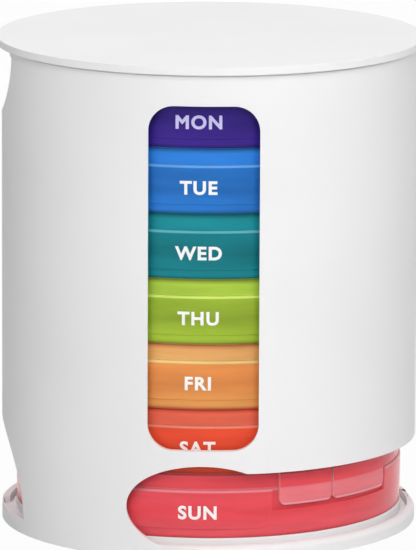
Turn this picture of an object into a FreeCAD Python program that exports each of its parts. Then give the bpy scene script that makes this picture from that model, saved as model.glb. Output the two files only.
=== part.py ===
"""Weekly pill tower: seven round drawer trays stacked in a cylindrical housing.

Units are millimetres, +Z is up.  The origin is on the tower's axis at the underside
of the base.  The viewing window faces -Y and the bottom tray slides out towards +X.
Bearings round the axis are in degrees from the window, turning towards +X.
"""
import FreeCAD, Part
import math
import os

from FreeCAD import Vector

# ---------------------------------------------------------------- driving dimensions
DAYS = ("sun", "sat", "fri", "thu", "wed", "tue", "mon")   # bottom to top

# housing
HOUSING_R = 51.0            # outer radius of the tower
WALL = 1.8                  # moulded wall
HOUSING_TOP = 118.0         # top edge, under the lid's rim
TOP_CHAMFER = 0.4
RING_TOP = 3.7              # top of the base ring that the exit tray passes over
RING_ROUND = 1.6            # rounded outer shoulder of that ring
LIP_DEPTH = 0.9             # small inward lip that keeps the floor plate in
LIP_REACH = 0.8

WINDOW_WIDTH = 26.7
WINDOW_BOTTOM = 26.9
WINDOW_TOP = 110.8
WINDOW_CORNER = 6.3
EXIT_TOP = 21.2             # top edge of the exit slot
ARCH_HALF_WIDTH = 18.45     # finger arches, front and back, over the bottom tray
ARCH_HALF_HEIGHT = 10.7
ARCH_CENTRE = 12.45
ARCH_BLEND = 3.0            # round between an arch and the slot's top edge
PUSH_HALF_WIDTH = 25.0      # push hole opposite the exit
PUSH_HALF_HEIGHT = 23.6
PUSH_CENTRE = 2.3
NOTCH_HALF_WIDTH = 18.0     # thumb notch in the top edge
NOTCH_DEPTH = 16.8
LUG_FROM = -90.0            # bearing of the floor plate's locking lug
LUG_TO = -61.5
LUG_FLOOR = 2.0
LUG_REACH = 50.5
LUG_THICK = 0.6
LUG_SIDE_GAP = 0.4          # degrees

# floor plate
PAD_R = 47.5
PAD_TOP = 4.75
PLATE_TOP = 2.2             # bottom of the moat round the pad
PAD_SKIN = 1.8
PAD_EDGE = 0.3
RIB = 1.4
RIB_COUNT = 6
RIB_FOOT = 0.3              # the ribs stay this far above the table
HUB_R = 15.0
PLATE_GAP = 0.1

# lid
LID_R = 52.3
LID_TOP = 120.3
LID_THICK = 1.9
LID_EDGE = 0.5
LID_SEAT_R = 50.4           # step that lifts the rim clear of the housing
SKIRT_R = 49.05
SKIRT_WALL = 0.8
SKIRT_BOTTOM = 115.2

# trays
TRAY_Z = 4.8                # underside of the bottom tray
PITCH = 15.9
TRAY_HEIGHT = 15.84
FOOT_R = 47.1
FOOT_HEIGHT = 1.9
FOOT_STEP = 0.15            # height of the small slope above the foot
TRAY_R_LOW = 47.35          # the wall has draft
TRAY_R_HIGH = 47.5
LEDGE = 11.7                # the flap lids sit on this ledge
LEDGE_ROUND = 0.5           # rounded outer edge of that ledge
TRAY_INNER_R = 45.4
FLOOR = 1.2
FLOOR_CHAMFER = 2.0
DIVIDER = 1.4
DIVIDER_TOP = 14.5
DIVIDER_BEARING = 40.5
PANEL_FROM = -44.0          # raised panel that carries the day's letters
PANEL_TO = 18.8
PANEL_RISE = 0.15
PANEL_LOW = 2.2
PANEL_HIGH = 11.1
POCKET_R = 46.7             # pocket that the thumb tabs hang in
POCKET_FLOOR = 6.3
POCKET_FROM = -19.9         # both measured from the divider
POCKET_TO = 26.4

# flap lids and their hinge
FLAP_R = 47.0
FLAP_RIM = 1.2
FLAP_PLATE = 1.2
FLAP_EDGE = 0.25            # rounded top edge
FLAP_GAP = 0.2              # from a flap's edge to the divider's middle
SEAT_GAP = 0.03
BARREL_R = 1.6
BARREL_OFFSET = 2.4         # hinge axis from the spine's middle
BARREL_Z = 14.1
BARREL_FROM = 1.8
BARREL_TO = 43.0
TRUNNION_R = 0.75
TRUNNION_FROM = 0.9
TRUNNION_TO = 44.4
SOCKET_R = 0.8
SPINE_TOP = 15.5
EAR_BOTTOM = 11.0
EAR_TOP = 15.7
EAR_HALF_WIDTH = 3.6
EAR_HALF_MIDDLE = 1.6
END_EAR_FROM = 43.2
END_EAR_TO = 45.2
EAR_GAP = 0.2               # from an ear to the flap's cut-out
POST_HALF_WIDTH = 2.2
TAB_R_IN = 46.8
TAB_R_OUT = 48.0
TAB_BOTTOM = 7.5
TAB_CORNER = 1.5
TAB_GAP = 0.3               # degrees from the divider to a tab's side
TAB_NARROW = 17.8           # degrees from the divider to the far side
TAB_WIDE = 24.1

JOIN = 0.3                  # shapes that are joined run this far into each other
SPARE = 1.0                 # cutting shapes stand out this far
REACH = 80.0                # further out than any piece
CLOSE = 1e-3                # heights and radii nearer than this are the same
UP = Vector(0, 0, 1)
ORIGIN = Vector(0, 0, 0)


# ---------------------------------------------------------------- helpers
def box(x0, x1, y0, y1, z0, z1):
    return Part.makeBox(x1 - x0, y1 - y0, z1 - z0, Vector(x0, y0, z0))


def disc(r, z0, z1):
    return Part.makeCylinder(r, z1 - z0, Vector(0, 0, z0))


def ring(r_in, r_out, z0, z1):
    return disc(r_out, z0, z1).cut(disc(r_in, z0 - SPARE, z1 + SPARE))


def turned(profile, degrees=360):
    """Solid of revolution from (radius, z) points, starting at +X."""
    points = [Vector(r, 0, z) for r, z in profile]
    face = Part.Face(Part.makePolygon(points + points[:1]))
    return face.revolve(ORIGIN, UP, degrees)


def sector(r_in, r_out, z0, z1, start, end):
    """Part of a ring between two angles, counted from +X towards +Y."""
    piece = turned([(r_in, z0), (r_out, z0), (r_out, z1), (r_in, z1)], end - start)
    piece.rotate(ORIGIN, UP, start)
    return piece


def from_bearing(bearing):
    """Angle from +X of a bearing counted from the window (-Y)."""
    return bearing - 90.0


def prism(wire, direction):
    return Part.Face(wire).extrude(direction)


def ellipse(half_width, half_height, centre_z, along):
    """Outline of an upright ellipse on the tower's axis, as seen along X or Y."""
    across = Vector(0, 1, 0) if along == "x" else Vector(1, 0, 0)
    middle = Vector(0, 0, centre_z)
    side = middle + across * half_width
    crown = middle + UP * half_height
    if half_width >= half_height:
        curve = Part.Ellipse(side, crown, middle)
    else:
        curve = Part.Ellipse(crown, side, middle)
    return Part.Wire(curve.toShape())


def rod(x, z, y0, y1, r):
    return Part.makeCylinder(r, y1 - y0, Vector(x, y0, z), Vector(0, 1, 0))


def level_edges(shape, z):
    """Edges that lie at one height."""
    return [e for e in shape.Edges
            if abs(e.BoundBox.ZMin - z) < CLOSE and abs(e.BoundBox.ZMax - z) < CLOSE]


def circles(shape, r, z):
    """Round edges of one radius and at one height."""
    return [e for e in level_edges(shape, z)
            if type(e.Curve).__name__ == "Circle" and abs(e.Curve.Radius - r) < CLOSE]


def straights(shape, z):
    """Straight edges at one height."""
    return [e for e in level_edges(shape, z) if type(e.Curve).__name__ == "Line"]


# ---------------------------------------------------------------- housing
def window_tool():
    slab = box(-WINDOW_WIDTH / 2, WINDOW_WIDTH / 2, -REACH, -WALL, WINDOW_BOTTOM, WINDOW_TOP)
    corners = [e for e in slab.Edges if e.BoundBox.YLength > WALL]
    return slab.makeFillet(WINDOW_CORNER, corners)


def exit_tool():
    """Slot towards +X, with a finger arch at the front and at the back."""
    arches = prism(ellipse(ARCH_HALF_WIDTH, ARCH_HALF_HEIGHT, ARCH_CENTRE, "y"),
                   Vector(0, 2 * REACH, 0))
    arches.translate(Vector(0, -REACH, 0))
    slot = box(0, REACH, -REACH, REACH, RING_TOP, EXIT_TOP)
    tool = arches.fuse(slot)
    tool = tool.cut(box(-REACH, REACH, -REACH, REACH, -REACH, RING_TOP))
    meeting = [e for e in level_edges(tool, EXIT_TOP)
               if 0 < e.BoundBox.XMin and e.BoundBox.XMax < ARCH_HALF_WIDTH]
    return tool.makeFillet(ARCH_BLEND, meeting)


def push_tool():
    tool = prism(ellipse(PUSH_HALF_WIDTH, PUSH_HALF_HEIGHT, PUSH_CENTRE, "x"),
                 Vector(-REACH, 0, 0))
    return tool.cut(box(-REACH - SPARE, SPARE, -REACH, REACH, -REACH, RING_TOP))


def notch_tool():
    return prism(ellipse(NOTCH_HALF_WIDTH, NOTCH_DEPTH, HOUSING_TOP, "x"),
                 Vector(-REACH, 0, 0))


def tower_shell():
    r_in = HOUSING_R - WALL
    tube = turned([
        (r_in, 0), (HOUSING_R, 0), (HOUSING_R, HOUSING_TOP - TOP_CHAMFER),
        (HOUSING_R - TOP_CHAMFER, HOUSING_TOP), (r_in, HOUSING_TOP)])
    for tool in (window_tool(), exit_tool(), push_tool(), notch_tool()):
        tube = tube.cut(tool)
    # rounded outer shoulder of the base ring where the openings leave it bare
    for edge in circles(tube, HOUSING_R, RING_TOP):
        tube = round_shoulder(tube, edge)
    tube = tube.fuse(ring(r_in - LIP_REACH, r_in + JOIN, 0, LIP_DEPTH))
    lug_bed = sector(r_in - SPARE, LUG_REACH + PLATE_GAP, LUG_FLOOR, RING_TOP + SPARE,
                     from_bearing(LUG_FROM), from_bearing(LUG_TO))
    return tube.cut(lug_bed).removeSplitter()


def round_shoulder(tube, edge):
    """Rounds the ring's outer top edge along one opening."""
    angles = [math.degrees(math.atan2(v.Y, v.X)) for v in edge.Vertexes]
    middle = edge.valueAt((edge.FirstParameter + edge.LastParameter) / 2)
    centre = math.degrees(math.atan2(middle.y, middle.x))
    half = max(abs((a - centre + 180) % 360 - 180) for a in angles)
    r_bead = HOUSING_R - RING_ROUND
    z_bead = RING_TOP - RING_ROUND
    corner = ring(r_bead, HOUSING_R + SPARE, z_bead, RING_TOP + SPARE)
    waste = corner.cut(Part.makeTorus(r_bead, RING_ROUND, Vector(0, 0, z_bead)))
    wedge = sector(r_bead - SPARE, HOUSING_R + 2 * SPARE, 0, RING_TOP + 2 * SPARE,
                   centre - half, centre + half)
    return tube.cut(waste.common(wedge))


# ---------------------------------------------------------------- floor plate
def base_plate():
    r_flange = HOUSING_R - WALL - PLATE_GAP
    plate = turned([
        (0, PAD_TOP - PAD_SKIN), (PAD_R - WALL, PAD_TOP - PAD_SKIN), (PAD_R - WALL, 0),
        (PAD_R, 0), (PAD_R, LIP_DEPTH), (r_flange, LIP_DEPTH), (r_flange, PLATE_TOP),
        (PAD_R, PLATE_TOP), (PAD_R, PAD_TOP), (0, PAD_TOP)])
    plate = plate.makeFillet(PAD_EDGE, circles(plate, PAD_R, PAD_TOP))
    web_top = PAD_TOP - PAD_SKIN + JOIN
    plate = plate.fuse(ring(HUB_R - RIB, HUB_R, 0, web_top))
    for n in range(RIB_COUNT):
        rib = box(HUB_R - RIB / 2, PAD_R - WALL / 2, -RIB / 2, RIB / 2, RIB_FOOT, web_top)
        rib.rotate(ORIGIN, UP, n * 360 / RIB_COUNT)
        plate = plate.fuse(rib)
    lug = sector(PAD_R - JOIN, LUG_REACH, LUG_FLOOR, LUG_FLOOR + LUG_THICK,
                 from_bearing(LUG_FROM + LUG_SIDE_GAP), from_bearing(LUG_TO - LUG_SIDE_GAP))
    return plate.fuse(lug).removeSplitter()


# ---------------------------------------------------------------- lid
def top_lid():
    under = LID_TOP - LID_THICK
    skirt_in = SKIRT_R - SKIRT_WALL
    cap = turned([
        (0, under), (skirt_in, under), (skirt_in, SKIRT_BOTTOM), (SKIRT_R, SKIRT_BOTTOM),
        (SKIRT_R, HOUSING_TOP), (LID_SEAT_R, HOUSING_TOP), (LID_SEAT_R, under),
        (LID_R, under), (LID_R, LID_TOP), (0, LID_TOP)])
    cap = cap.makeFillet(LID_EDGE, circles(cap, LID_R, LID_TOP))
    return cap.makeFillet(LID_EDGE / 2, circles(cap, LID_R, under))


# ---------------------------------------------------------------- trays
# A tray and its flaps are drawn with one divider along +X and the hinge spine along Y,
# and are turned to the divider's bearing afterwards.
def tray_body():
    cup = turned([
        (0, 0), (FOOT_R, 0), (FOOT_R, FOOT_HEIGHT), (TRAY_R_LOW, FOOT_HEIGHT + FOOT_STEP),
        (TRAY_R_HIGH, LEDGE), (TRAY_INNER_R, LEDGE), (TRAY_INNER_R, FLOOR + FLOOR_CHAMFER),
        (TRAY_INNER_R - FLOOR_CHAMFER, FLOOR), (0, FLOOR)])
    cup = cup.makeFillet(LEDGE_ROUND, circles(cup, TRAY_R_HIGH, LEDGE))
    panel = sector(FOOT_R - JOIN, TRAY_R_HIGH + PANEL_RISE, PANEL_LOW, PANEL_HIGH,
                   PANEL_FROM - DIVIDER_BEARING, PANEL_TO - DIVIDER_BEARING)
    cup = cup.fuse(panel)
    for side in (0, 180):
        pocket = sector(POCKET_R, TRAY_R_HIGH + SPARE, POCKET_FLOOR, LEDGE + SPARE,
                        POCKET_FROM + side, POCKET_TO + side)
        cup = cup.cut(pocket)
    inside = disc(TRAY_INNER_R + JOIN, 0, REACH)
    low = box(-REACH, REACH, -DIVIDER / 2, DIVIDER / 2, FLOOR - JOIN, DIVIDER_TOP)
    spine = box(-DIVIDER / 2, DIVIDER / 2, -REACH, REACH, FLOOR - JOIN, SPINE_TOP)
    ears = box(-EAR_HALF_WIDTH, EAR_HALF_WIDTH, -EAR_HALF_MIDDLE, EAR_HALF_MIDDLE,
               EAR_BOTTOM, EAR_TOP)
    for y0, y1 in ((END_EAR_FROM, END_EAR_TO), (-END_EAR_TO, -END_EAR_FROM)):
        ears = ears.fuse(box(-EAR_HALF_WIDTH, EAR_HALF_WIDTH, y0, y1, EAR_BOTTOM, EAR_TOP))
    for x in (-BARREL_OFFSET, BARREL_OFFSET):
        ears = ears.cut(rod(x, BARREL_Z, -REACH, REACH, SOCKET_R))
    rim_band = ring(FLAP_R - FLAP_RIM, FLAP_R, LEDGE - JOIN, TRAY_HEIGHT)
    posts = rim_band.common(box(-POST_HALF_WIDTH, POST_HALF_WIDTH, -REACH, REACH, 0, REACH))
    r_post = FLAP_R - FLAP_RIM / 2
    crown = box(-DIVIDER / 2, DIVIDER / 2, -r_post, r_post, LEDGE - JOIN, SPINE_TOP)
    walls = low.fuse(spine).common(inside)
    return cup.fuse([walls, ears, posts, crown]).removeSplitter()


def flap(tab_angle, side):
    """Quarter lid over +X, on the +Y side for side = 1 and the -Y side for side = -1."""
    under = TRAY_HEIGHT - FLAP_PLATE
    low_edge = LEDGE + SEAT_GAP
    plate = disc(FLAP_R, under, TRAY_HEIGHT)
    rim = ring(FLAP_R - FLAP_RIM, FLAP_R, low_edge, TRAY_HEIGHT)
    y0, y1 = sorted((side * FLAP_GAP, side * REACH))
    quarter = box(BARREL_OFFSET, REACH, y0, y1, 0, REACH)
    start, end = sorted((side * TAB_GAP, side * tab_angle))
    grip = sector(TAB_R_IN, TAB_R_OUT, TAB_BOTTOM, TRAY_HEIGHT - FLAP_EDGE, start, end)
    grip = grip.makeFillet(TAB_CORNER, straights(grip, TAB_BOTTOM))
    b0, b1 = sorted((side * BARREL_FROM, side * BARREL_TO))
    t0, t1 = sorted((side * TRUNNION_FROM, side * TRUNNION_TO))
    barrel = rod(BARREL_OFFSET, BARREL_Z, b0, b1, BARREL_R)
    trunnions = rod(BARREL_OFFSET, BARREL_Z, t0, t1, TRUNNION_R)
    lid = plate.fuse(rim).removeSplitter()
    lid = lid.makeFillet(FLAP_EDGE, circles(lid, FLAP_R, TRAY_HEIGHT)).common(quarter)
    # room for the ears that carry the trunnions
    for y_in, y_out in ((0, EAR_HALF_MIDDLE), (END_EAR_FROM, END_EAR_TO)):
        c0, c1 = sorted((side * (y_in - EAR_GAP), side * (y_out + EAR_GAP)))
        lid = lid.cut(box(0, EAR_HALF_WIDTH + EAR_GAP, c0, c1, 0, REACH))
    return lid.fuse([grip, barrel, trunnions]).removeSplitter()


def tray_set():
    """Tray and its four flaps at the origin, turned to the divider's bearing."""
    shapes = {"tray": tray_body()}
    narrow = flap(TAB_NARROW, -1)
    wide = flap(TAB_WIDE, 1)
    for name, shape, turn in (("flap_morning", narrow, 0), ("flap_noon", wide, 0),
                              ("flap_evening", narrow, 180), ("flap_bedtime", wide, 180)):
        placed = shape.copy()
        placed.rotate(ORIGIN, UP, turn)
        shapes[name] = placed
    for shape in shapes.values():
        shape.rotate(ORIGIN, UP, from_bearing(DIVIDER_BEARING))
    return shapes


def build():
    nodes = {"tower_shell": tower_shell(), "base_plate": base_plate(), "top_lid": top_lid()}
    pattern = tray_set()
    for level, day in enumerate(DAYS):
        for name, shape in pattern.items():
            placed = shape.copy()
            placed.translate(Vector(0, 0, TRAY_Z + level * PITCH))
            nodes[day + "_" + name] = placed
    return nodes


def main():
    os.makedirs("parts", exist_ok=True)
    for name, shape in build().items():
        if not shape.isValid():
            print("invalid shape:", name)
        shape.exportStep("parts/" + name + ".step")
        print(name, "solids", len(shape.Solids), "faces", len(shape.Faces),
              "volume", round(shape.Volume))


main()
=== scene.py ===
"""Weekly pill tower: seven coloured drawer trays with hinged flap lids in a white housing.

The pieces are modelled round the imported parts, in metres, +Z up.  The window faces -Y
and the bottom tray slides out towards +X.  A bearing is an angle round the tower, in
degrees from the window (-Y) towards +X.  Straight mouldings are drawn flat, with X as
the way round, Y as the depth inwards from the outside and Z as the height, and are
rolled up into the round afterwards.
"""
import bmesh
import bpy
import math
from bpy.props import FloatProperty, FloatVectorProperty, IntProperty, PointerProperty
from mathutils import Euler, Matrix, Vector


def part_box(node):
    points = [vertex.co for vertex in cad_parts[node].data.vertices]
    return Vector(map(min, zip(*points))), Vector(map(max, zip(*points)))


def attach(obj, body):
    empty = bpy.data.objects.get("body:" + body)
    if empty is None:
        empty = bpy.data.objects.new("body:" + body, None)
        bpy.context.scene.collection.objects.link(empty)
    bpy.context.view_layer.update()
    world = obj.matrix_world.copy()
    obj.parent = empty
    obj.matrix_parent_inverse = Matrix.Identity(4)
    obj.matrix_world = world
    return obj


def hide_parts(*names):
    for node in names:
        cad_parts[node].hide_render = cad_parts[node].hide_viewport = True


bl_info = {
    "name": "Pill Tower",
    "version": (1, 0, 0),
    "blender": (4, 5, 0),
    "location": "View3D > Sidebar > Pill Tower",
    "description": "Models a weekly pill tower round its packed parts",
    "category": "Object",
}

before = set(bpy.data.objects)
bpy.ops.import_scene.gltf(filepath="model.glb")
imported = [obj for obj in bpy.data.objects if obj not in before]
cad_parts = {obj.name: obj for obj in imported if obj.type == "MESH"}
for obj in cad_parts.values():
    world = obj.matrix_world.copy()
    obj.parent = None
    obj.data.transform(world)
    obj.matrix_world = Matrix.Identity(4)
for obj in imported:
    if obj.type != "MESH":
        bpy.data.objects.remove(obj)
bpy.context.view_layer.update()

MM = 0.001
HAIR = 1e-6                    # points closer than this are one point
CUTTER_SPARE = 1.0 * MM        # how far a cutter reaches past the wall
TRIM = 5.0 * MM                # length trimmed off each end of a flat wall
DAYS = ("sun", "sat", "fri", "thu", "wed", "tue", "mon")     # bottom to top

# ------------------------------------------------------------ sizes read from the parts
SHELL_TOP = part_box("tower_shell")[1]
LID_LOW, LID_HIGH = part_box("top_lid")
PAD_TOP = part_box("base_plate")[1].z
FIRST_TRAY_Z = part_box("sun_tray")[0].z
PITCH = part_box("sat_tray")[0].z - FIRST_TRAY_Z
FLAP_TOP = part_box("sun_flap_morning")[1].z - FIRST_TRAY_Z

# ------------------------------------------------------------ housing
WALL = 1.8 * MM
RING_TOP = 3.7 * MM            # base ring that the bottom tray slides over
RING_ROUND = 1.6 * MM
TOP_ROUND = 0.12 * MM          # outer top edge, under the lid's rim
WINDOW_HALF_WIDTH = 13.35 * MM
WINDOW_BOTTOM = 26.9 * MM
WINDOW_TOP = 110.8 * MM
WINDOW_CORNER = 6.3 * MM
EXIT_TOP = 21.2 * MM
ARCH_HALF_WIDTH = 18.45 * MM
ARCH_HALF_HEIGHT = 10.7 * MM
ARCH_CENTRE = 12.45 * MM
ARCH_BLEND = 3.0 * MM
PUSH_HALF_WIDTH = 25.0 * MM
PUSH_HALF_HEIGHT = 23.6 * MM
PUSH_CENTRE = 2.3 * MM
NOTCH_HALF_WIDTH = 18.0 * MM
NOTCH_DEPTH = 16.8 * MM
LUG_BEARINGS = (-90.0, -61.5)  # the floor plate's locking lug, in its bed in the ring
LUG_LOW = 2.0 * MM
LUG_HIGH = 2.6 * MM
LUG_REACH = 50.5 * MM
LUG_SIDE_GAP = 0.4             # degrees
LUG_BED_GAP = 0.1 * MM
LIP_REACH = 0.8 * MM
LIP_HEIGHT = 0.9 * MM
SHELL_SEAM = -135.0            # bearing where the rolled-up wall closes

# ------------------------------------------------------------ floor plate
PAD_R = 47.5 * MM
MOAT_FLOOR = 2.2 * MM
PAD_SKIN = 1.8 * MM
FLANGE_R = 49.1 * MM
RIB = 1.4 * MM
RIB_COUNT = 6
RIB_FOOT = 0.3 * MM
HUB_R = 15.0 * MM

# ------------------------------------------------------------ lid
LID_THICK = 1.9 * MM
LID_SEAT_R = 50.9 * MM
SKIRT_R = 49.05 * MM
SKIRT_WALL = 0.8 * MM

# ------------------------------------------------------------ trays
TRAY_R = 47.5 * MM             # widest, just under the ledge
FOOT_DEPTH = 0.16 * MM         # how far the foot stands in from that
FOOT_HEIGHT = 1.9 * MM
DRAFT = 0.15 * MM
LEDGE = 11.7 * MM
TRAY_WALL = 2.1 * MM
FLOOR = 1.2 * MM
FLOOR_CHAMFER = 2.0 * MM
DIVIDER = 1.4 * MM
DIVIDER_TOP = 14.5 * MM
DIVIDER_ROOT = 0.4 * MM        # how far the dividers run into the wall
DIVIDER_BEARING = 40.5
PANEL_BEARINGS = (-44.0, 18.8)     # raised panel that carries the day's letters
PANEL_RISE = 0.1 * MM
PANEL_LOW = 2.2 * MM
PANEL_HIGH = 11.1 * MM
LEDGE_ROUND = 0.5 * MM
POCKET_BEARINGS = (20.6, 66.9)
POCKET_DEPTH = 0.8 * MM
POCKET_FLOOR = 6.3 * MM
TRAY_SEAM = -95.0

# ------------------------------------------------------------ flap lids
FLAP_R = 47.0 * MM
FLAP_RIM = 1.2 * MM
FLAP_PLATE = 1.2 * MM
FLAP_LOW = 11.73 * MM
FLAP_GAP = 0.2 * MM
HINGE_OFFSET = 2.4 * MM        # hinge axis from the spine's middle
HINGE_Z = 14.1 * MM
BARREL_R = 1.6 * MM
BARREL_SPAN = (1.8 * MM, 43.0 * MM)
PIN_R = 0.75 * MM
PIN_SPAN = (0.9 * MM, 44.4 * MM)
SOCKET_R = 0.8 * MM
SPINE_TOP = 15.5 * MM
EAR_LOW = 11.0 * MM
EAR_HIGH = 15.7 * MM
EAR_HALF_WIDTH = 3.6 * MM
EAR_SPANS = ((-45.2 * MM, -43.2 * MM), (-1.6 * MM, 1.6 * MM), (43.2 * MM, 45.2 * MM))
EAR_SLACK = 0.2 * MM           # a flap's room round the ears
POST_HALF_WIDTH = 2.2 * MM     # posts at the ends of the spine
POST_HALF_DEPTH = 0.55 * MM
POST_MIDDLE = FLAP_R - 0.6 * MM
TAB_R_OUT = 48.0 * MM
TAB_R_IN = 46.8 * MM
TAB_LOW = 7.5 * MM
TAB_CORNER = 1.5 * MM
TAB_EDGE = 0.22 * MM           # rounding of a tab's outer face
TAB_GAP = 0.3                  # degrees from the divider to a tab's side
NARROW_TAB = 17.8              # degrees from the divider to its far side
WIDE_TAB = 24.1

# ------------------------------------------------------------ lettering
LETTER_BEARING = -1.6
LETTER_MIDDLE = 6.25 * MM      # above the tray's underside
LETTER_SIZE = 4.42 * MM
LETTER_STRETCH = 1.03
LETTER_WEIGHT = 0.15 * MM      # added all round, for bold letters
LETTER_SPACING = 1.15
LETTER_PROUD = 0.03 * MM
LETTER_NICK = 0.02 * MM        # corners closer than this become one corner
LETTER_CURVE = 6               # points along each curve of a letter
LETTER_FLAT = 0.2              # degrees between edges that become one edge

# ------------------------------------------------------------ colour shares
WHITE = (1.0, 1.0, 1.0)
SHOW_THROUGH = 0.05            # how much of the tray's colour shows through the ink
# Monday's letters take more of the tray's colour: partly show-through, partly painted shade
# under the window's top edge
SHADED_SHOW_THROUGH = {"mon": 0.45}
FLAP_RIM_GLOW = (1.5, 0.06)    # painted glow on the flap rims: shade, and share of white for each part of red
SHADED_RIM_TONE = {"sun": (1.05, 0.0)}    # painted shade: this rim lies in the exit slot's shade and takes less of the painted glow


# ------------------------------------------------------------ settings a user would change
def length(label, text, value):
    """A size in metres, shown in the scene's unit."""
    return FloatProperty(name=label, description=text, default=value, min=0.0,
                         precision=5, unit="LENGTH")


def swatch(label, text, value):
    """A colour, given as shares of light."""
    return FloatVectorProperty(name=label, description=text, default=value, min=0.0, max=1.0,
                               subtype="COLOR", size=3)


def tint(label, *display):
    """A plastic's colour, given as display values from 0 to 255."""
    return swatch(label, label + " tray's plastic", [linear(value) for value in display])


def power(label, light, watts):
    """A lamp's strength."""
    return FloatProperty(name=label, description="Power of the " + light, default=watts,
                         min=0.0, unit="POWER")


def linear(value):
    """Share of light that a display value stands for."""
    share = value / 255
    return share / 12.92 if share <= 0.04045 else ((share + 0.055) / 1.055) ** 2.4


class PillTowerSizes(bpy.types.PropertyGroup):
    """Sizes that a user would change"""
    edge: length("Edge", "Softened edge of the white mouldings", 0.3 * MM)
    tray_edge: length("Tray edge", "Softened edge of the tray and flap mouldings", 0.16 * MM)
    strips: IntProperty(name="Strips", description="Strips that a round wall is rolled from",
                        default=240, min=48, max=720)


class PillTowerColours(bpy.types.PropertyGroup):
    """Colours of the plastics and the printing"""
    housing: swatch("Housing", "White housing plastic", (0.84, 0.835, 0.84))
    letters: swatch("Letters", "White printed lettering", (0.9, 0.9, 0.9))
    sun: tint("Sunday", 253, 88, 98)
    sat: tint("Saturday", 240, 86, 56)
    fri: tint("Friday", 240, 154, 86)
    thu: tint("Thursday", 160, 188, 60)
    wed: tint("Wednesday", 24, 130, 140)
    tue: tint("Tuesday", 44, 120, 200)
    mon: tint("Monday", 60, 38, 138)


class PillTowerStage(bpy.types.PropertyGroup):
    """Strengths of the light on the tower"""
    key_power: power("Key light", "large soft light", 11.2)
    fill_power: power("Fill light", "light at the left", 3.4)
    side_power: power("Side light", "light at the right", 7.0)
    top_power: power("Top light", "light overhead", 1.3)
    back_power: power("Back light", "light behind", 10.0)
    ambient: FloatProperty(name="Ambient", description="Strength of the light all round",
                           default=0.13, min=0.0)


# ------------------------------------------------------------ working by hand
def rest():
    """Leaves edit mode and deselects everything."""
    if bpy.context.object and bpy.context.object.mode == "EDIT":
        bpy.ops.object.mode_set(mode="OBJECT")
    bpy.ops.object.select_all(action="DESELECT")


def take(piece):
    """Makes one piece the selected and active one."""
    rest()
    piece.select_set(True)
    bpy.context.view_layer.objects.active = piece
    return piece


def open_up(piece, elements="VERT"):
    """Edit mode with nothing selected."""
    take(piece)
    bpy.ops.object.mode_set(mode="EDIT")
    bpy.ops.mesh.select_mode(type=elements)
    bpy.ops.mesh.select_all(action="DESELECT")


def everything():
    """Selects all of the open piece."""
    bpy.ops.mesh.select_all(action="SELECT")


def pick(piece, kind, test):
    """Selects the open piece's verts, edges or faces that pass a test."""
    mesh = bmesh.from_edit_mesh(piece.data)
    for item in [item for item in getattr(mesh, kind) if test(item)]:
        item.select_set(True)
    bmesh.update_edit_mesh(piece.data)


def middle(item):
    """Middle of an edge or a face."""
    return sum((v.co for v in item.verts), Vector()) / len(item.verts)


def depth_of(edge):
    """How far an edge of a flat moulding runs through it."""
    return abs(edge.verts[0].co.y - edge.verts[1].co.y)


def outside_at(edge, height):
    """Whether an edge lies in a flat moulding's outer face, level at a height."""
    return all(abs(v.co.y) < HAIR and abs(v.co.z - height) < HAIR for v in edge.verts)


def named(name):
    """The object that was just added, with its name."""
    bpy.context.object.name = name
    return bpy.context.object


def fix(piece):
    """Puts the object's place, turn and scale into its mesh."""
    take(piece)
    bpy.ops.object.transform_apply(location=True, rotation=True, scale=True)
    return piece


def block(name, low, high):
    """Box between two corners."""
    rest()
    bpy.ops.mesh.primitive_cube_add(size=1, location=(Vector(low) + Vector(high)) / 2)
    piece = named(name)
    piece.scale = Vector(high) - Vector(low)
    return fix(piece)


def oval(name, centre, half_width, half_height, span, points=96):
    """Elliptic cutter through a flat moulding, over a span of depth."""
    rest()
    bpy.ops.mesh.primitive_cylinder_add(vertices=points, radius=1, depth=1,
                                        location=(centre[0], sum(span) / 2, centre[1]),
                                        rotation=(math.pi / 2, 0, 0))
    piece = named(name)
    bpy.ops.object.transform_apply(location=False, rotation=True, scale=False)
    piece.scale = (half_width, span[1] - span[0], half_height)
    return fix(piece)


def rod(name, x, z, span, radius, points=32):
    """Round bar along Y."""
    rest()
    bpy.ops.mesh.primitive_cylinder_add(vertices=points, radius=radius,
                                        depth=span[1] - span[0],
                                        location=(x, (span[0] + span[1]) / 2, z),
                                        rotation=(math.pi / 2, 0, 0))
    return fix(named(name))


def lathe(name, outline, points, closed=False):
    """Turned piece from (radius, height) points, with flat ends or closed on itself."""
    rest()
    radius, height = outline[0]
    bpy.ops.mesh.primitive_circle_add(vertices=points, radius=radius,
                                      location=(0, 0, height), fill_type="NOTHING")
    piece = fix(named(name))
    open_up(piece, "EDGE")
    everything()
    if not closed:
        bpy.ops.mesh.edge_face_add()
    stops = list(outline[1:]) + ([outline[0]] if closed else [])
    for next_radius, next_height in stops:
        bpy.ops.mesh.extrude_edges_move(
            TRANSFORM_OT_translate={"value": (0, 0, next_height - height)})
        scale = next_radius / radius
        bpy.ops.transform.resize(value=(scale, scale, 1),
                                 center_override=(0, 0, next_height))
        radius, height = next_radius, next_height
    if not closed:
        bpy.ops.mesh.edge_face_add()
    return tidy(piece)


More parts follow.
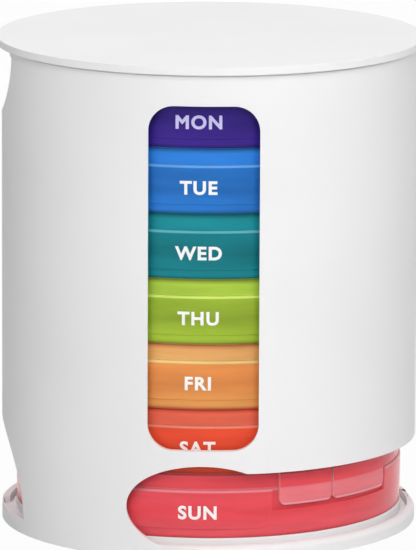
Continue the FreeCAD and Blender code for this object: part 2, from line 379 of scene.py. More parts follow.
def moulding(name, start, end, outline):
    """Straight moulding along X with a closed (depth, height) outline and capped ends."""
    rest()
    depth, height = outline[0]
    span = end - start
    bpy.ops.mesh.primitive_plane_add(size=span, location=((start + end) / 2, depth, height))
    piece = fix(named(name))
    open_up(piece)
    pick(piece, "verts", lambda v: v.co.y > depth)
    bpy.ops.mesh.delete(type="VERT")
    everything()
    bpy.ops.transform.translate(value=(0, span / 2, 0))
    bpy.ops.mesh.select_mode(type="EDGE")
    everything()
    for next_depth, next_height in list(outline[1:]) + [outline[0]]:
        bpy.ops.mesh.extrude_edges_move(
            TRANSFORM_OT_translate={"value": (0, next_depth - depth, next_height - height)})
        depth, height = next_depth, next_height
    everything()
    bpy.ops.mesh.remove_doubles(threshold=HAIR)
    for x in (start, end):
        bpy.ops.mesh.select_all(action="DESELECT")
        pick(piece, "edges", lambda e: abs(e.verts[0].co.x - x) < HAIR
             and abs(e.verts[1].co.x - x) < HAIR)
        bpy.ops.mesh.edge_face_add()
    return tidy(piece)


def tidy(piece):
    """Closes doubled points and turns the faces outwards."""
    open_up(piece)
    everything()
    bpy.ops.mesh.remove_doubles(threshold=HAIR)
    bpy.ops.mesh.normals_make_consistent(inside=False)
    rest()
    return piece


def combine(piece, operation, *tools):
    """Applies one tool after another to a piece, and removes them."""
    for tool in tools:
        take(piece)
        step = piece.modifiers.new("combine", "BOOLEAN")
        step.operation = operation
        step.solver = "EXACT"
        step.object = tool
        bpy.ops.object.modifier_apply(modifier=step.name)
        take(tool)
        bpy.ops.object.delete()
    return piece


def cut(piece, *tools):
    """Cuts the tools out of a piece."""
    return combine(piece, "DIFFERENCE", *tools)


def join(piece, *tools):
    """Joins the tools on to a piece."""
    return combine(piece, "UNION", *tools)


def soften(piece, width, segments=3, angle=30):
    """Rounds every edge sharper than the angle."""
    take(piece)
    step = piece.modifiers.new("soften", "BEVEL")
    step.width = width
    step.segments = segments
    step.limit_method = "ANGLE"
    step.angle_limit = math.radians(angle)
    bpy.ops.object.modifier_apply(modifier=step.name)
    return piece


def round_edges(piece, test, radius, segments):
    """Rounds only the edges that pass a test."""
    open_up(piece, "EDGE")
    pick(piece, "edges", test)
    bpy.ops.mesh.bevel(offset=radius, segments=segments, affect="EDGES",
                       clamp_overlap=False)
    rest()
    return piece


def slice_up(piece, start, end, step, trim=False):
    """Cuts a flat moulding across every step, so that it rolls up round."""
    open_up(piece)
    count = max(1, round((end - start) / step))
    for n in range(count + 1):
        x = start + (end - start) * n / count
        everything()
        bpy.ops.mesh.bisect(plane_co=(x, 0, 0), plane_no=(1, 0, 0), threshold=HAIR / 10,
                            clear_inner=trim and n == 0, clear_outer=trim and n == count)
    rest()
    return piece


def roll(piece, radius):
    """Rolls a flat moulding up, so that zero depth lies at the radius."""
    take(piece)
    along = [v.co.x for v in piece.data.vertices]
    step = piece.modifiers.new("roll", "SIMPLE_DEFORM")
    step.deform_method = "BEND"
    step.deform_axis = "Z"
    step.angle = (max(along) - min(along)) / radius
    bpy.ops.object.modifier_apply(modifier=step.name)
    bpy.ops.transform.translate(value=(0, -radius, 0))
    return fix(piece)


def turn(piece, degrees):
    """Turns a piece round the tower's axis."""
    piece.rotation_euler = Euler((0, 0, math.radians(degrees)))
    return fix(piece)


def smooth(piece, angle=32):
    """Smooth shading, but for edges sharper than the angle."""
    take(piece)
    bpy.ops.object.shade_smooth_by_angle(angle=math.radians(angle), keep_sharp_edges=False)
    step = piece.modifiers.new("shade", "WEIGHTED_NORMAL")
    step.keep_sharp = True
    bpy.ops.object.modifier_apply(modifier=step.name)
    return piece


def copy(piece, name, turned=0.0, lifted=0.0):
    """A copy with its own mesh, turned and lifted into place."""
    take(piece)
    bpy.ops.object.duplicate(linked=False)
    twin = bpy.context.object
    twin.name = name
    twin.data.name = name
    twin.rotation_euler = Euler((0, 0, math.radians(turned)))
    twin.location = (0, 0, lifted)
    return fix(twin)


def round_at(bearing, radius):
    """Distance round a wall of that radius to a bearing."""
    return radius * math.radians(bearing)


def unrolled(half_width, radius):
    """Half width of a straight opening, measured round the wall."""
    return radius * math.asin(half_width / radius)


def dress(piece, material, body, slot, *nodes):
    """Gives a finished piece its material, its body and the part that it stands for."""
    piece.data.materials.clear()
    piece.data.materials.append(material)
    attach(piece, body)
    if nodes:
        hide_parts(*nodes)
    return piece


# ------------------------------------------------------------ materials
def add_node(tree, kind, values=None, **settings):
    """A new shader node with its settings and the plain values of its inputs."""
    node = tree.nodes.new("ShaderNode" + kind)
    for name, setting in settings.items():
        setattr(node, name, setting)
    for name, value in (values or {}).items():
        node.inputs[name].default_value = value
    return node


def maths(tree, operation, *terms):
    """A sum on sockets and plain numbers."""
    node = add_node(tree, "Math", operation=operation)
    for term, socket in zip(terms, node.inputs):
        if isinstance(term, float):
            socket.default_value = term
        else:
            tree.links.new(term, socket)
    return node.outputs["Value"]


class Finish:
    """A procedural material on Object coordinates, with short ways to add its nodes."""

    def __init__(self, name, roughness, ior=1.5):
        self.material = bpy.data.materials.new(name)
        self.material.use_nodes = True
        self.tree = self.material.node_tree
        self.shader = self.tree.nodes["Principled BSDF"]
        self.set({"Roughness": roughness, "IOR": ior})
        coordinates = self.node("TexCoord")
        self.place, self.normal = (coordinates.outputs[kind] for kind in ("Object", "Normal"))

    def set(self, values):
        """Plain values of the shader's inputs."""
        for name, value in values.items():
            self.shader.inputs[name].default_value = value

    def node(self, kind, values=None, **settings):
        return add_node(self.tree, kind, values, **settings)

    def link(self, source, target):
        self.tree.links.new(source, target)

    def noise(self, scale, detail=3.0, stretch=(1, 1, 1)):
        """Noise with so many patches to the metre."""
        mapping = self.node("Mapping", {"Scale": stretch})
        self.link(self.place, mapping.inputs["Vector"])
        node = self.node("TexNoise", {"Scale": scale, "Detail": detail})
        self.link(mapping.outputs["Vector"], node.inputs["Vector"])
        return node.outputs["Fac"]

    def ranged(self, value, **limits):
        """Maps a value from one range to another."""
        node = self.node("MapRange", {name.replace("_", " ").title(): limit
                                      for name, limit in limits.items()})
        self.link(value, node.inputs["Value"])
        return node.outputs["Result"]

    def ramp(self, factor, stops):
        """Colours along a factor, from (place, colour) stops."""
        node = self.node("ValToRGB")
        marks = node.color_ramp.elements
        for _ in stops[2:]:
            marks.new(1.0)
        for mark, (place, colour) in zip(marks, stops):
            mark.position = place
            mark.color = (*colour, 1)
        self.link(factor, node.inputs["Fac"])
        return node.outputs["Color"]

    def colours(self, pattern, dark, light, low=0.35, high=0.65):
        """Base colour that wanders between two colours."""
        self.link(self.ramp(pattern, ((low, dark), (high, light))),
                  self.shader.inputs["Base Color"])

    def by_height(self, foot, stops):
        """Colour that changes with the height, from (height above the foot, colour) stops."""
        split = self.node("SeparateXYZ")
        self.link(self.place, split.inputs["Vector"])
        top = stops[-1][0]
        return self.ramp(self.ranged(split.outputs["Z"], from_min=foot, from_max=foot + top),
                         [(height / top, colour) for height, colour in stops])

    def off_radial(self, facing, away):
        """0 where the surface faces out from the tower's axis, up or down, 1 on its edges."""
        split, rise = self.node("SeparateXYZ"), self.node("SeparateXYZ")
        self.link(self.place, split.inputs["Vector"])
        self.link(self.normal, rise.inputs["Vector"])
        flat = self.node("CombineXYZ")
        for axis in "XY":
            self.link(split.outputs[axis], flat.inputs[axis])
        radial = self.node("VectorMath", operation="NORMALIZE")
        self.link(flat.outputs["Vector"], radial.inputs[0])
        along = self.node("VectorMath", operation="DOT_PRODUCT")
        self.link(radial.outputs["Vector"], along.inputs[0])
        self.link(self.normal, along.inputs[1])
        sizes = [maths(self.tree, "ABSOLUTE", value)
                 for value in (along.outputs["Value"], rise.outputs["Z"])]
        return self.ranged(maths(self.tree, "MAXIMUM", *sizes), from_min=facing, from_max=away)

    def blended(self, factor, colour, other):
        """One colour where the factor is 0, and a plain other one where it is 1."""
        mix = self.node("Mix", {"B": (*other, 1)}, data_type="RGBA")
        self.link(factor, mix.inputs["Factor"])
        self.link(colour, mix.inputs["A"])
        return mix.outputs["Result"]

    def marbled(self, colour, pattern, dark, light):
        """Base colour that a pattern darkens and lightens."""
        mix = self.node("Mix", {"Factor": 1}, data_type="RGBA", blend_type="MULTIPLY")
        self.link(colour, mix.inputs["A"])
        self.link(self.ranged(pattern, to_min=dark, to_max=light), mix.inputs["B"])
        self.link(mix.outputs["Result"], self.shader.inputs["Base Color"])

    def gloss(self, pattern, low, high):
        """Roughness that wanders between two values."""
        self.link(self.ranged(pattern, to_min=low, to_max=high),
                  self.shader.inputs["Roughness"])

    def grain(self, pattern, height, strength=1.0):
        """Fine bumps of a height."""
        bump = self.node("Bump", {"Distance": height, "Strength": strength})
        self.link(pattern, bump.inputs["Height"])
        self.link(bump.outputs["Normal"], self.shader.inputs["Normal"])


def scaled(colour, factor):
    """A lighter or darker shade, no lighter than white."""
    return [min(1.0, c * factor) for c in colour]


def mixed(colour, other, share):
    """A colour with a share of another one in it."""
    return [c + (o - c) * share for c, o in zip(colour, other)]


def white_plastic(colour):
    """Opaque white moulding: satin, with the fine texture of a spark-eroded mould."""
    finish = Finish("white_plastic", 0.42)
    finish.colours(finish.noise(26, 2), scaled(colour, 0.985), scaled(colour, 1.01))
    finish.gloss(finish.noise(90, 3), 0.46, 0.55)
    finish.grain(finish.noise(2600, 2), 0.012 * MM, 0.5)
    finish.set({"Specular IOR Level": 0.09, "Subsurface Weight": 0.12,
                "Subsurface Radius": (1.0, 0.9, 0.85), "Subsurface Scale": 1.2 * MM})
    return finish.material


def tinted_plastic(name, colour, foot, painted_tones, edge_glow_white=0.12):
    """Translucent coloured moulding: glossy, with faint flow marks, and a painted glow at its
    edges.

    The painted tones are (height, shade, share of white) up the moulding: bands of painted shade
    and painted highlight.
    """
    finish = Finish(name, 0.2, 1.49)
    stops = [(height, mixed(scaled(colour, shade), WHITE, white))
             for height, shade, white in painted_tones]
    body = finish.by_height(foot, stops)
    # painted glow: faces turned sideways round the tower, such as the sides of tabs, pockets and
    # panels, take a lighter tint
    edges = mixed(scaled(colour, 1.6), WHITE, edge_glow_white)
    finish.marbled(finish.blended(finish.off_radial(0.85, 0.4), body, edges),
                   finish.noise(45, 3, (1, 1, 7)), 0.75, 1.25)
    finish.gloss(finish.noise(120, 3), 0.16, 0.25)
    finish.grain(finish.noise(700, 2, (1, 1, 0.35)), 0.01 * MM, 0.4)
    finish.set({"Specular IOR Level": 0.35, "Transmission Weight": 0.25,
                "Specular Tint": (*mixed(colour, WHITE, 0.3), 1), "Subsurface Weight": 0.25,
                "Subsurface Radius": scaled(colour, 1.0), "Subsurface Scale": 2.5 * MM})
    return finish.material


def tray_plastic(day, colour, foot):
    """A tray's plastic: painted shade along its bottom edge, painted light on its foot, lighter
    towards the bottom of its face, and a painted highlight along its rounded ledge.
    """
    return tinted_plastic(day + "_tray_plastic", colour, foot, (
        (0, 0.5, 0), (0.3 * MM, 0.9, 0), (0.9 * MM, 1.3, 0), (FOOT_HEIGHT, 1.35, 0),
        (PANEL_LOW + DRAFT, 1.3, 0), (LEDGE / 2, 1.0, 0), (LEDGE - 4 * LEDGE_ROUND, 1.15, 0),
        (LEDGE - 1.3 * LEDGE_ROUND, 1.25, 0.0), (LEDGE - 1.1 * LEDGE_ROUND, 2.2, 0.12),
        (LEDGE - 0.05 * LEDGE_ROUND, 2.2, 0.12), (LEDGE + 0.1 * LEDGE_ROUND, 1.0, 0),
        (SPINE_TOP, 1.0, 0)))


def flap_plastic(day, colour, foot):
    """A flap's plastic: painted lighter than the tray, as if lit through the thin moulding, with
    a painted glow along the tabs' lower edges and painted shade at the rim's top, under the tray
    above.
    """
    # share of white in the flap's painted glow
    painted_glow = 0.1 * colour[0]
    lip = TAB_LOW + 2 * TAB_EDGE
    shade, white = SHADED_RIM_TONE.get(day, FLAP_RIM_GLOW)
    white *= colour[0]
    return tinted_plastic(day + "_flap_plastic", colour, foot, (
        (TAB_LOW, 2.2, 3 * painted_glow), (lip, 2.2, 3 * painted_glow), (lip + TAB_EDGE, 1.7, painted_glow),
        (LEDGE, 1.7, painted_glow), (LEDGE + LEDGE_ROUND, shade, white),
        (FLAP_TOP - 1.4 * MM, shade, white),
        (FLAP_TOP - 0.8 * MM, 1.05, painted_glow / 3), (FLAP_TOP - 0.25 * MM, 0.5, 0),
        (FLAP_TOP, 1.2, painted_glow)), edge_glow_white=0.4)


def printed_ink(day, colour):
    """White pad-printed ink: matt, with a slightly uneven film."""
    finish = Finish(day + "_ink", 0.5)
    finish.colours(finish.noise(900, 2), scaled(colour, 0.96), scaled(colour, 1.02))
    finish.gloss(finish.noise(500, 2), 0.42, 0.58)
    finish.grain(finish.noise(4000, 2), 0.006 * MM, 0.4)
    return finish.material


def housing_white():
    """One white plastic for the housing, the floor plate and the lid."""
    colour = bpy.context.scene.pill_tower_colours.housing
    return bpy.data.materials.get("white_plastic") or white_plastic(colour)


# ------------------------------------------------------------ housing
def splayed(tool, centre, radius):
    """Widens a flat cutter inwards, so that its sides are parallel once it is rolled up."""
    depths = [v.co.y for v in tool.data.vertices]
    for depth in (min(depths), max(depths)):
        open_up(tool)
        pick(tool, "verts", lambda v: abs(v.co.y - depth) < HAIR
             and abs(v.co.x - centre) < round_at(90, radius))
        bpy.ops.transform.resize(value=(radius / (radius - depth), 1, 1),
                                 center_override=(centre, 0, 0))
    rest()
    return tool


def opening_tools(radius):
    """Cutters for the window, exit slot, push hole and thumb notch, drawn flat."""
    depths = (-CUTTER_SPARE, WALL + CUTTER_SPARE)
    half = unrolled(WINDOW_HALF_WIDTH, radius)
    window = block("window_cutter", (-half, depths[0], WINDOW_BOTTOM),
                   (half, depths[1], WINDOW_TOP))
    round_edges(window, lambda e: depth_of(e) > WALL, WINDOW_CORNER, segments=14)
    splayed(window, 0, radius)

    quarter = round_at(90, radius)
    slot = block("exit_cutter", (0, depths[0], RING_TOP), (2 * quarter, depths[1], EXIT_TOP))
    for n in (0, 2):
        join(slot, oval("arch", (n * quarter, ARCH_CENTRE), unrolled(ARCH_HALF_WIDTH, radius),
                        ARCH_HALF_HEIGHT, depths))
    round_edges(slot, lambda e: depth_of(e) > WALL and abs(middle(e).z - EXIT_TOP) < HAIR
                and HAIR < middle(e).x < 2 * quarter - HAIR, ARCH_BLEND, segments=8)
    cut(slot, underneath(-quarter, 3 * quarter))
    for n in (0, 2):
        splayed(slot, n * quarter, radius)

    push = oval("push_cutter", (-quarter, PUSH_CENTRE), unrolled(PUSH_HALF_WIDTH, radius),
                PUSH_HALF_HEIGHT, depths)
    cut(splayed(push, -quarter, radius), underneath(-2 * quarter, 0))
    notch = oval("notch_cutter", (-quarter, SHELL_TOP.z), unrolled(NOTCH_HALF_WIDTH, radius),
                 NOTCH_DEPTH, depths)
    return window, slot, push, splayed(notch, -quarter, radius)


def underneath(start, end):
    """Everything below the top of the base ring."""
    return block("underneath", (start, -3 * WALL, -PUSH_HALF_HEIGHT), (end, 3 * WALL, RING_TOP))


def housing_wall(edge, strips):
    """Round wall with its openings, its base ring and the bed of the lug."""
    radius = SHELL_TOP.x
    start = round_at(SHELL_SEAM, radius)
    end = start + round_at(360, radius)
    wall = block("housing_wall", (start - TRIM, 0, 0), (end + TRIM, WALL, SHELL_TOP.z))
    bed_start, bed_end = (round_at(bearing, radius) for bearing in LUG_BEARINGS)
    lug_bed = block("lug_bed", (bed_start, radius - LUG_REACH - LUG_BED_GAP, LUG_LOW),
                    (bed_end, 2 * WALL, 2 * RING_TOP))
    cut(wall, *opening_tools(radius))
    # outer shoulder of the base ring, only where the openings leave it bare
    round_edges(wall, lambda e: outside_at(e, RING_TOP) and len(e.link_faces) == 2
                and e.calc_face_angle(0) > 1, RING_ROUND, segments=8)
    cut(wall, lug_bed)
    round_edges(wall, lambda e: outside_at(e, SHELL_TOP.z), TOP_ROUND, segments=3)
    soften(wall, edge)
    slice_up(wall, start, end, round_at(360 / strips, radius), trim=True)
    roll(wall, radius)
    return tidy(wall)


def retaining_lip(edge, points):
    """Small inward lip at the foot of the wall that holds the floor plate up."""
    inner = SHELL_TOP.x - WALL
    return soften(lathe("lip", [(inner - LIP_REACH, 0), (inner + WALL / 3, 0),
                                (inner + WALL / 3, LIP_HEIGHT),
                                (inner - LIP_REACH, LIP_HEIGHT)], points, closed=True),
                  edge / 2, segments=2)


def floor_plate(edge, points):
    """Pad, moat and flange in one turning, with a hub, ribs and the lug under and beside it."""
    ceiling = PAD_TOP - PAD_SKIN
    plate = lathe("floor_plate", [
        (PAD_R - WALL, ceiling), (PAD_R - WALL, 0), (PAD_R, 0), (PAD_R, LIP_HEIGHT),
        (FLANGE_R, LIP_HEIGHT), (FLANGE_R, MOAT_FLOOR), (PAD_R, MOAT_FLOOR),
        (PAD_R, PAD_TOP)], points)
    soften(plate, edge)
    web_top = ceiling + PAD_SKIN / 3
    hub = lathe("hub", [(HUB_R - RIB, 0), (HUB_R, 0), (HUB_R, web_top),
                        (HUB_R - RIB, web_top)], points // 2, closed=True)
    ribs = [soften(hub, edge / 2, segments=2)]
    for n in range(RIB_COUNT):
        rib = soften(block("rib", (HUB_R - RIB / 2, -RIB / 2, RIB_FOOT),
                           (PAD_R - WALL / 2, RIB / 2, web_top)), edge / 2, segments=2)
        ribs.append(turn(rib, n * 360 / RIB_COUNT))
    start, end = LUG_BEARINGS
    lug = block("lug", (round_at(start + LUG_SIDE_GAP, PAD_R), PAD_R - LUG_REACH, LUG_LOW),
                (round_at(end - LUG_SIDE_GAP, PAD_R), RIB, LUG_HIGH))
    soften(lug, edge / 2, segments=2)
    slice_up(lug, round_at(start, PAD_R), round_at(end, PAD_R), RIB)
    ribs.append(roll(lug, PAD_R))
    return join(plate, *ribs)


def lid(edge, points):
    """Thin rim, the step that lifts it clear of the housing, and the skirt."""
    under = LID_HIGH.z - LID_THICK
    rim = LID_HIGH.x
    piece = lathe("lid", [
        (SKIRT_R - SKIRT_WALL, under), (SKIRT_R - SKIRT_WALL, LID_LOW.z),
        (SKIRT_R, LID_LOW.z), (SKIRT_R, SHELL_TOP.z), (LID_SEAT_R, SHELL_TOP.z),
        (LID_SEAT_R, under), (rim, under), (rim, LID_HIGH.z)], points)
    return soften(piece, edge, segments=4)


# ------------------------------------------------------------ trays
def tray_template(edge, strips):
    """Round tray with four compartments, standing on the origin."""
    start = round_at(TRAY_SEAM, TRAY_R)
    end = start + round_at(360, TRAY_R)
    core = TRAY_WALL + FLOOR_CHAMFER
    wall = moulding("tray", start - TRIM, end + TRIM, [
        (FOOT_DEPTH, 0), (FOOT_DEPTH, FOOT_HEIGHT), (DRAFT, FOOT_HEIGHT + DRAFT),
        (0, LEDGE), (TRAY_WALL, LEDGE), (TRAY_WALL, FLOOR + FLOOR_CHAMFER),
        (core, FLOOR), (core, 0)])
    round_edges(wall, lambda e: outside_at(e, LEDGE), LEDGE_ROUND, segments=6)
    start_panel, end_panel = (round_at(bearing, TRAY_R) for bearing in PANEL_BEARINGS)
    join(wall, block("panel", (start_panel, -PANEL_RISE, PANEL_LOW),
                     (end_panel, FOOT_DEPTH + PANEL_RISE, PANEL_HIGH)))
    for half_turn in (0, 180):
        near, far = (round_at(bearing + half_turn, TRAY_R) for bearing in POCKET_BEARINGS)
        cut(wall, block("pocket", (near, -TRAY_WALL, POCKET_FLOOR),
                        (far, POCKET_DEPTH, 2 * LEDGE)))
    soften(wall, edge)
    slice_up(wall, start, end, round_at(360 / strips, TRAY_R), trim=True)
    roll(wall, TRAY_R)
    fill_floor(tidy(wall), TRAY_R - core)
    join(wall, *tray_walls(edge))
    return wall


def fill_floor(wall, radius):
    """Swaps the wall's inner cut face for a floor that runs right across."""
    open_up(wall, "FACE")
    inside = radius + edge_room()
    pick(wall, "faces", lambda f: all(math.hypot(v.co.x, v.co.y) < inside for v in f.verts))
    bpy.ops.mesh.delete(type="FACE")
    bpy.ops.mesh.select_mode(type="EDGE")
    for level in (0, FLOOR):
        bpy.ops.mesh.select_all(action="DESELECT")
        pick(wall, "edges", lambda e: len(e.link_faces) == 1
             and abs(middle(e).z - level) < FLOOR / 2)
        bpy.ops.mesh.edge_face_add()
    return tidy(wall)


def edge_room():
    """Slack for finding the points that a softened edge has moved."""
    return bpy.context.scene.pill_tower_sizes.tray_edge * 0.1


def tray_walls(edge):
    """Dividers, hinge spine, ears and posts, turned to the divider's bearing."""
    inside = TRAY_R - TRAY_WALL + DIVIDER_ROOT
    half = DIVIDER / 2
    low = FLOOR * 0.8           # the walls' feet stand in the floor
    pieces = [soften(block("divider", (-inside, -half, low), (inside, half, DIVIDER_TOP)),
                     edge * 2),
              soften(block("spine", (-half, -inside, low), (half, inside, SPINE_TOP)),
                     edge * 2)]
    pins = [rod("socket", x, HINGE_Z, (-TRAY_R, TRAY_R), SOCKET_R)
            for x in (-HINGE_OFFSET, HINGE_OFFSET)]
    ears = [soften(block("ear", (-EAR_HALF_WIDTH, y0, EAR_LOW), (EAR_HALF_WIDTH, y1, EAR_HIGH)),
                   edge * 2) for y0, y1 in EAR_SPANS]
    posts = [soften(block("post", (-POST_HALF_WIDTH, y - POST_HALF_DEPTH, EAR_LOW),
                          (POST_HALF_WIDTH, y + POST_HALF_DEPTH, FLAP_TOP)), edge * 2)
             for y in (-POST_MIDDLE, POST_MIDDLE)]
    ears = join(ears[0], *ears[1:])
    cut(ears, *pins)
    pieces += [ears, *posts]
    return [turn(piece, DIVIDER_BEARING - 90) for piece in pieces]


def flap_template(name, side, tab, edge, strips):
    """Quarter lid beside the divider: side 1 goes on round from it, side -1 comes before."""
    straight = math.degrees(math.asin(FLAP_GAP / FLAP_R))
    hinge = math.degrees(math.acos(HINGE_OFFSET / FLAP_R))
    step = round_at(360 / strips, TRAY_R)

    def span(near, far):
        ends = (DIVIDER_BEARING + side * near, DIVIDER_BEARING + side * far)
        return [round_at(bearing, TRAY_R) for bearing in sorted(ends)]

    rim_start, rim_end = span(straight, hinge)
    tab_start, tab_end = span(TAB_GAP, tab)
    rim = block("rim", (rim_start, TRAY_R - FLAP_R, FLAP_LOW),
                (rim_end, TRAY_R - FLAP_R + FLAP_RIM, FLAP_TOP))
    grip = block("grip", (tab_start, TRAY_R - TAB_R_OUT, TAB_LOW),
                 (tab_end, TRAY_R - TAB_R_IN, FLAP_TOP - edge))
    round_edges(grip, lambda e: depth_of(e) > HAIR and middle(e).z < TAB_LOW + HAIR,
                TAB_CORNER, segments=7)
    round_edges(grip, lambda e: all(v.co.y < TRAY_R - TAB_R_OUT + HAIR for v in e.verts)
                and middle(e).z < FLAP_TOP - 2 * edge, TAB_EDGE, segments=4)
    join(rim, grip)
    soften(rim, edge)
    slice_up(rim, rim_start, rim_end, step)
    roll(rim, TRAY_R)
    tidy(rim)

    rest()
    bpy.ops.mesh.primitive_cylinder_add(vertices=strips, radius=FLAP_R - FLAP_RIM / 2,
                                        depth=FLAP_PLATE,
                                        location=(0, 0, FLAP_TOP - FLAP_PLATE / 2))
    plate = fix(named(name))
    open_up(plate)
    for plane_co, plane_no in (((HINGE_OFFSET, 0, 0), (-1, 0, 0)),
                               ((0, FLAP_GAP, 0), (0, -1, 0))):
        everything()
        bpy.ops.mesh.bisect(plane_co=plane_co, plane_no=plane_no, threshold=HAIR / 10,
                            use_fill=True, clear_outer=True)
    tidy(plate)
    soften(plate, edge)
    barrel, pin = (soften(rod(part, HINGE_OFFSET, HINGE_Z, reach, r), edge, segments=2)
                   for part, reach, r in (("barrel", BARREL_SPAN, BARREL_R),
                                          ("pin", PIN_SPAN, PIN_R)))
    cut(plate, *(block("ear_gap", (-EAR_HALF_WIDTH, y0 - EAR_SLACK, 0),
                       (EAR_HALF_WIDTH + EAR_SLACK, y1 + EAR_SLACK, 2 * FLAP_TOP))
                 for y0, y1 in EAR_SPANS[1:]))
    join(plate, barrel, pin)
    # the plate is made for side 1, and mirrored for the other
    plate.scale = (1, side, 1)
    turn(tidy(fix(plate)), DIVIDER_BEARING - 90)
    return join(plate, rim)


def day_word(day, strips):
    """The day's three bold letters, laid on the raised panel of its tray."""
    rest()
    bpy.ops.object.text_add(location=(0, 0, 0), rotation=(math.pi / 2, 0, 0))
    word = bpy.context.object
    word.data.body = day.upper()
    word.data.size = LETTER_SIZE
    word.data.space_character = LETTER_SPACING
    word.data.align_x = "CENTER"
    word.data.resolution_u = LETTER_CURVE
    bpy.ops.object.convert(target="MESH")
    word = fix(named(day + "_word"))
    open_up(word)
    everything()
    bpy.ops.mesh.remove_doubles(threshold=LETTER_NICK)
    bpy.ops.mesh.dissolve_degenerate(threshold=LETTER_NICK)
    bpy.ops.mesh.dissolve_limited(angle_limit=math.radians(LETTER_FLAT))
    everything()
    bpy.ops.mesh.extrude_region_move(
        TRANSFORM_OT_translate={"value": (0, 4 * LETTER_PROUD, 0)})
    tidy(word)
    open_up(word, "FACE")
    pick(word, "faces", lambda f: abs(f.normal.y) < 0.5)
    bpy.ops.transform.shrink_fatten(value=LETTER_WEIGHT, use_even_offset=True)
    rest()
    low, high = (Vector(corner(v.co[i] for v in word.data.vertices) for i in range(3))
                 for corner in (min, max))
    centre = (low + high) / 2
    word.scale = (LETTER_STRETCH, 1, 1)
    word.location = (round_at(LETTER_BEARING, TRAY_R) - centre.x * LETTER_STRETCH,
                     LETTER_PROUD - centre.y, LETTER_MIDDLE - centre.z)
    fix(word)
    outer = TRAY_R + PANEL_RISE
    # finer strips than the panel's, so that the letters follow the round closely
    along = [v.co.x for v in word.data.vertices]
    slice_up(word, min(along), max(along), round_at(360 / strips, outer) / 2)
    return smooth(roll(word, outer))


# ------------------------------------------------------------ stage
CAMERA_BEARING = 1.58
CAMERA_ELEVATION = 10.99
CAMERA_DISTANCE = 1.682
CAMERA_LENS = 447.0
CAMERA_ROLL = 0.25             # degrees
CAMERA_AIM = (-0.3 * MM, 0, 60.2 * MM)
CAMERA_CLIP = (0.05, 20)
# bearing, elevation, distance and size of each light
LAMPS = {"key": (4, 34, 1.3, 0.9), "fill": (-30, 14, 1.6, 1.0), "side": (78, 25, 1.6, 1.0),
         "top": (10, 82, 1.3, 1.0), "back": (-172, 36, 1.6, 1.0)}
TABLE_R = 6.0
TABLE_GREYS = (0.6, 0.62)
TABLE_GLOW = 0.95              # share of plain white in what the eye sees of the table


def outwards(bearing, elevation):
    """Unit vector away from the tower."""
    b, e = math.radians(bearing), math.radians(elevation)
    return Vector((math.sin(b) * math.cos(e), -math.cos(b) * math.cos(e), math.sin(e)))


def camera():
    """Long lens, turned a little about its own axis."""
    rest()
    back = outwards(CAMERA_BEARING, CAMERA_ELEVATION)
    turned = (-back).to_track_quat("-Z", "Y").to_matrix().to_4x4()
    roll_turn = Euler((0, 0, math.radians(CAMERA_ROLL))).to_matrix().to_4x4()
    bpy.ops.object.camera_add(location=Vector(CAMERA_AIM) + back * CAMERA_DISTANCE,
                              rotation=(turned @ roll_turn).to_euler())
    viewer = named("camera")
    viewer.data.lens = CAMERA_LENS
    viewer.data.clip_start, viewer.data.clip_end = CAMERA_CLIP
    bpy.context.scene.camera = viewer


def lamp(name, bearing, elevation, distance, size, watts):
    """Square soft light that faces the tower."""
    rest()
    back = outwards(bearing, elevation)
    aim = Vector((0, 0, SHELL_TOP.z / 2))
    bpy.ops.object.light_add(type="AREA", location=aim + back * distance,
                             rotation=(-back).to_track_quat("-Z", "Y").to_euler())
    light = named(name)
    light.data.shape = "SQUARE"
    light.data.size = size
    light.data.energy = watts


def surroundings(ambient):
    """White to the eye and in reflections, and a plain even light on the surfaces."""
    world = bpy.data.worlds.new("surroundings")
    bpy.context.scene.world = world
    world.use_nodes = True
    tree = world.node_tree
    plain = tree.nodes["Background"]
    plain.inputs["Color"].default_value = (*WHITE, 1)
    plain.inputs["Strength"].default_value = ambient
    seen = add_node(tree, "Background", {"Color": (*WHITE, 1), "Strength": 1.0})
    show(tree, 1.0, plain, seen, "World Output")


def show(tree, share, plain, seen, output):
    """Shows a share of one shader to the eye and in reflections, and the plain one otherwise."""
    path = add_node(tree, "LightPath")
    camera_ray, glossy, through = (path.outputs["Is " + kind + " Ray"]
                                   for kind in ("Camera", "Glossy", "Transmission"))
    direct = maths(tree, "MAXIMUM", maths(tree, "MAXIMUM", camera_ray, glossy), through)
    mix = add_node(tree, "MixShader")
    parts = (maths(tree, "MULTIPLY", direct, share), plain.outputs[0], seen.outputs[0])
    for part, socket in zip(parts, mix.inputs):
        tree.links.new(part, socket)
    tree.links.new(mix.outputs[0], tree.nodes[output].inputs["Surface"])


def pale_floor():
    """Round white table top that keeps the tower's shadow."""
    rest()
    bpy.ops.mesh.primitive_circle_add(vertices=96, radius=TABLE_R, fill_type="NGON")
    table = named("table_top")
    finish = Finish("table_white", 0.6)
    dark, light = ((grey, grey, grey) for grey in TABLE_GREYS)
    finish.colours(finish.noise(3, 2), dark, light)
    glow = finish.node("Emission", {"Strength": 1.0})
    show(finish.tree, TABLE_GLOW, finish.shader, glow, "Material Output")
    table.data.materials.append(finish.material)


# ------------------------------------------------------------ operators
class PILLTOWER_OT_housing(bpy.types.Operator):
    """Model the white tower wall with its window, exit slot and notches"""
    bl_idname = "pill_tower.housing"
    bl_label = "Housing"

    def execute(self, context):
        sizes = context.scene.pill_tower_sizes
        wall = housing_wall(sizes.edge, sizes.strips)
        join(wall, retaining_lip(sizes.edge, sizes.strips))
        dress(smooth(wall), housing_white(), "housing", "white_housing", "tower_shell")
        return {"FINISHED"}


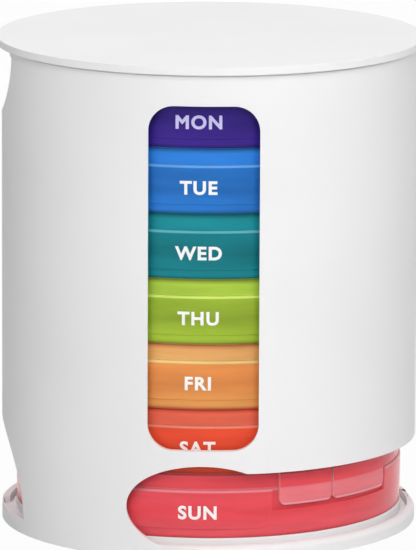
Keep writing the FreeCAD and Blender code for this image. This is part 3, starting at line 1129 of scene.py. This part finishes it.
class PILLTOWER_OT_floor_plate(bpy.types.Operator):
    """Model the ribbed floor plate that the trays rest on"""
    bl_idname = "pill_tower.floor_plate"
    bl_label = "Floor plate"

    def execute(self, context):
        sizes = context.scene.pill_tower_sizes
        plate = floor_plate(sizes.edge, sizes.strips)
        dress(smooth(plate), housing_white(), "housing", "white_housing", "base_plate")
        return {"FINISHED"}


class PILLTOWER_OT_lid(bpy.types.Operator):
    """Model the lift-off lid with its skirt"""
    bl_idname = "pill_tower.lid"
    bl_label = "Lid"

    def execute(self, context):
        sizes = context.scene.pill_tower_sizes
        piece = lid(sizes.edge, sizes.strips)
        dress(smooth(piece), housing_white(), "lid", "white_housing", "top_lid")
        return {"FINISHED"}


class PILLTOWER_OT_trays(bpy.types.Operator):
    """Model one tray with its four flap lids, and copy the set for each day"""
    bl_idname = "pill_tower.trays"
    bl_label = "Trays and flaps"

    def execute(self, context):
        sizes = context.scene.pill_tower_sizes
        colours = context.scene.pill_tower_colours
        edge, strips = sizes.tray_edge, sizes.strips
        tray = smooth(tray_template(edge, strips))
        narrow = smooth(flap_template("narrow", -1, NARROW_TAB, edge, strips))
        wide = smooth(flap_template("wide", 1, WIDE_TAB, edge, strips))
        patterns = (("tray", tray, 0), ("flap_morning", narrow, 0), ("flap_noon", wide, 0),
                    ("flap_evening", narrow, 180), ("flap_bedtime", wide, 180))
        for level, day in enumerate(DAYS):
            foot = FIRST_TRAY_Z + level * PITCH
            colour = getattr(colours, day)
            plastics = {"tray": tray_plastic(day, colour, foot)}
            lids = flap_plastic(day, colour, foot)
            for part, pattern, turned in patterns:
                piece = copy(pattern, day + "_" + part + "_piece", turned, foot)
                dress(piece, plastics.get(part, lids), day + "_drawer",
                      day + "_tray_plastic", day + "_" + part)
        for pattern in (tray, narrow, wide):
            take(pattern)
            bpy.ops.object.delete()
        return {"FINISHED"}


class PILLTOWER_OT_words(bpy.types.Operator):
    """Letter each tray with its day"""
    bl_idname = "pill_tower.words"
    bl_label = "Day words"

    def execute(self, context):
        strips = context.scene.pill_tower_sizes.strips
        colours = context.scene.pill_tower_colours
        for level, day in enumerate(DAYS):
            word = day_word(day, strips)
            ink = printed_ink(day, mixed(colours.letters, scaled(getattr(colours, day), 2.6),
                                         SHADED_SHOW_THROUGH.get(day, SHOW_THROUGH)))
            word.location = (0, 0, FIRST_TRAY_Z + level * PITCH)
            dress(fix(word), ink, day + "_drawer", "white_housing")
        return {"FINISHED"}


class PILLTOWER_OT_stage(bpy.types.Operator):
    """Set the floor, the soft lights and the camera"""
    bl_idname = "pill_tower.stage"
    bl_label = "Stage"

    def execute(self, context):
        stage = context.scene.pill_tower_stage
        context.scene.view_settings.view_transform = "Standard"
        camera()
        for name, place in LAMPS.items():
            lamp(name, *place, getattr(stage, name + "_power"))
        surroundings(stage.ambient)
        pale_floor()
        return {"FINISHED"}


STEPS = (PILLTOWER_OT_housing, PILLTOWER_OT_floor_plate, PILLTOWER_OT_lid,
         PILLTOWER_OT_trays, PILLTOWER_OT_words, PILLTOWER_OT_stage)
GROUPS = (("pill_tower_sizes", PillTowerSizes), ("pill_tower_colours", PillTowerColours),
          ("pill_tower_stage", PillTowerStage))


class PILLTOWER_PT_panel(bpy.types.Panel):
    """Settings and steps of the pill tower"""
    bl_idname = "PILLTOWER_PT_panel"
    bl_label = "Pill Tower"
    bl_space_type = "VIEW_3D"
    bl_region_type = "UI"
    bl_category = "Pill Tower"

    def draw(self, context):
        for name, group in GROUPS:
            settings = getattr(context.scene, name)
            for field in group.__annotations__:
                self.layout.prop(settings, field)
        for step in STEPS:
            self.layout.operator(step.bl_idname)


def register():
    for item in (*(group for _, group in GROUPS), *STEPS, PILLTOWER_PT_panel):
        bpy.utils.register_class(item)
    for name, group in GROUPS:
        setattr(bpy.types.Scene, name, PointerProperty(type=group))


def unregister():
    for name, _ in GROUPS:
        delattr(bpy.types.Scene, name)
    for item in (PILLTOWER_PT_panel, *STEPS, *(group for _, group in GROUPS)):
        bpy.utils.unregister_class(item)


def main():
    """Models every piece."""
    register()
    bpy.ops.pill_tower.housing()
    bpy.ops.pill_tower.floor_plate()
    bpy.ops.pill_tower.lid()
    bpy.ops.pill_tower.trays()
    bpy.ops.pill_tower.words()
    bpy.ops.pill_tower.stage()
    rest()


if __name__ == "__main__":
    main()
